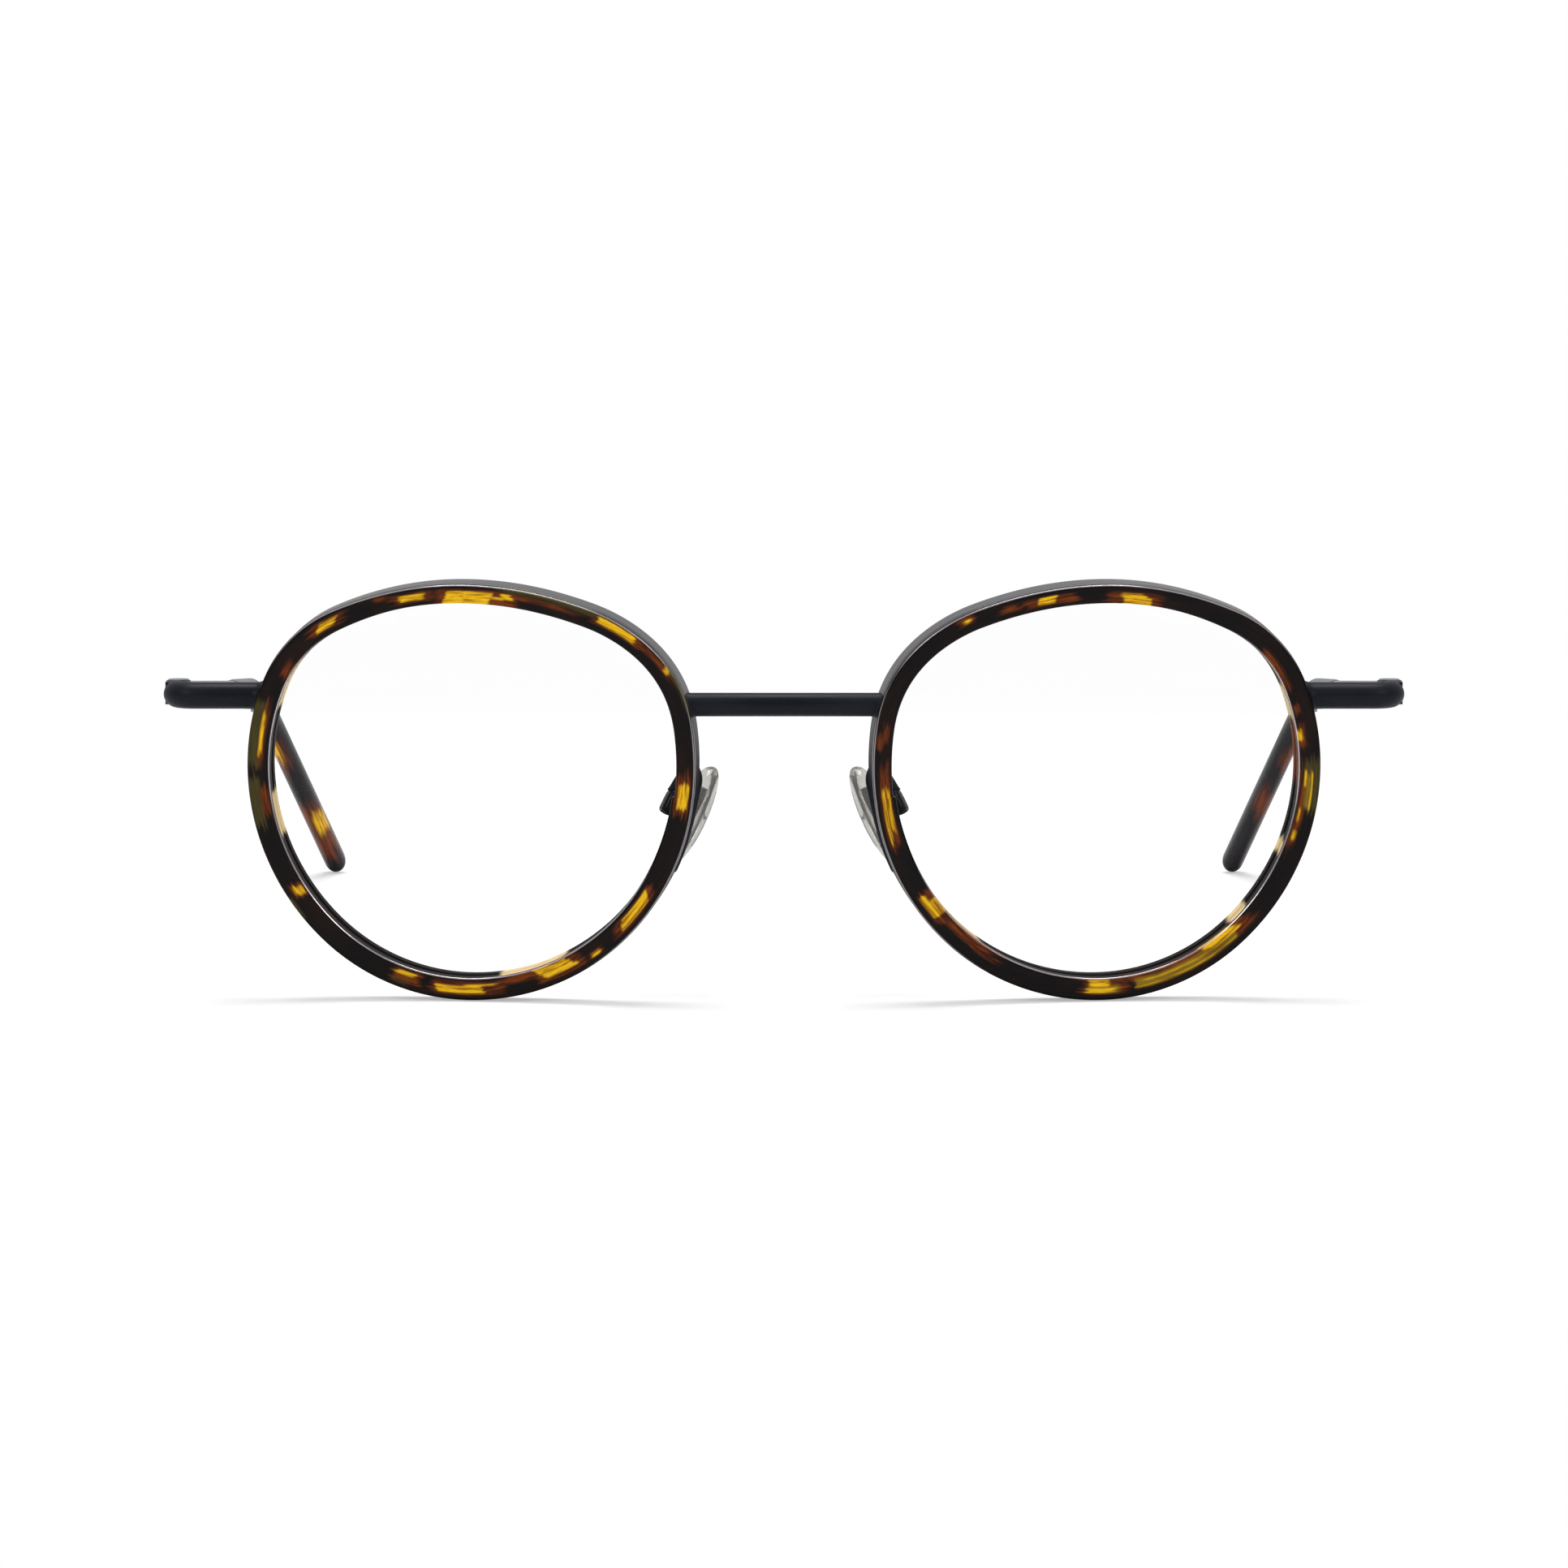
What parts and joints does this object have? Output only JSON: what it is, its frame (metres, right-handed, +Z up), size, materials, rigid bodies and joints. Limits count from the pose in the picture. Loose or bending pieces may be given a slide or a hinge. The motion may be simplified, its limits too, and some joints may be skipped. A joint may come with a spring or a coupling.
{
  "type": "eyeglasses",
  "caption": "Round full-rim eyeglasses: acetate rings in metal eyewires, straight bar bridge, folding metal temples with acetate tips and rocking nose pads.",
  "frame": {"origin": "on the table under the middle of the open glasses' bounding box", "axes": "+Z up, the front faces -Y and the temples run back along +Y; left and right are as seen from the front"},
  "size_m": [0.1398, 0.1481, 0.0476],
  "materials": {
    "metal": "matte navy-black paint",
    "steel": "brushed",
    "acetate": "polished tortoiseshell",
    "lens": "clear, polished",
    "pad": "translucent silicone"
  },
  "bodies": {
    "front": {"bridge_bar": "metal", "left_eyewire": "metal", "right_eyewire": "metal", "left_rim_ring": "acetate", "right_rim_ring": "acetate", "left_lens": "lens", "right_lens": "lens", "left_end_piece": "metal", "right_end_piece": "metal", "left_rim_lock": "metal", "right_rim_lock": "metal", "left_rim_lock_screw": "steel", "right_rim_lock_screw": "steel", "left_front_knuckles": "metal", "right_front_knuckles": "metal", "left_hinge_screw": "steel", "right_hinge_screw": "steel", "left_pad_arm": "metal", "right_pad_arm": "metal", "left_pad_box": "metal", "right_pad_box": "metal", "left_pad_screw": "steel", "right_pad_screw": "steel"},
    "left_temple": {"left_temple_bar": "metal", "left_temple_knuckle": "metal", "left_temple_tip": "acetate"},
    "right_temple": {"right_temple_bar": "metal", "right_temple_knuckle": "metal", "right_temple_tip": "acetate"},
    "left_pad": {"left_nose_pad": "pad", "left_pad_insert": "steel"},
    "right_pad": {"right_nose_pad": "pad", "right_pad_insert": "steel"}
  },
  "joints": [
    {"name": "left_temple_fold", "type": "hinge", "parent": "front", "child": "left_temple", "pos_m": [-0.0684, -0.06009, 0.03417], "axis": [0, 0, -1], "range_deg": [0, 84]},
    {"name": "right_temple_fold", "type": "hinge", "parent": "front", "child": "right_temple", "pos_m": [0.0684, -0.06009, 0.03417], "axis": [0, 0, 1], "range_deg": [0, 78]},
    {"name": "left_pad_rock", "type": "hinge", "parent": "front", "child": "left_pad", "pos_m": [-0.0125, -0.0618, 0.0215], "axis": [-0.2756, 0.9613, 0], "range_deg": [-8, 8]},
    {"name": "right_pad_rock", "type": "hinge", "parent": "front", "child": "right_pad", "pos_m": [0.0125, -0.0618, 0.0215], "axis": [0.2756, 0.9613, 0], "range_deg": [-8, 8]}
  ]
}
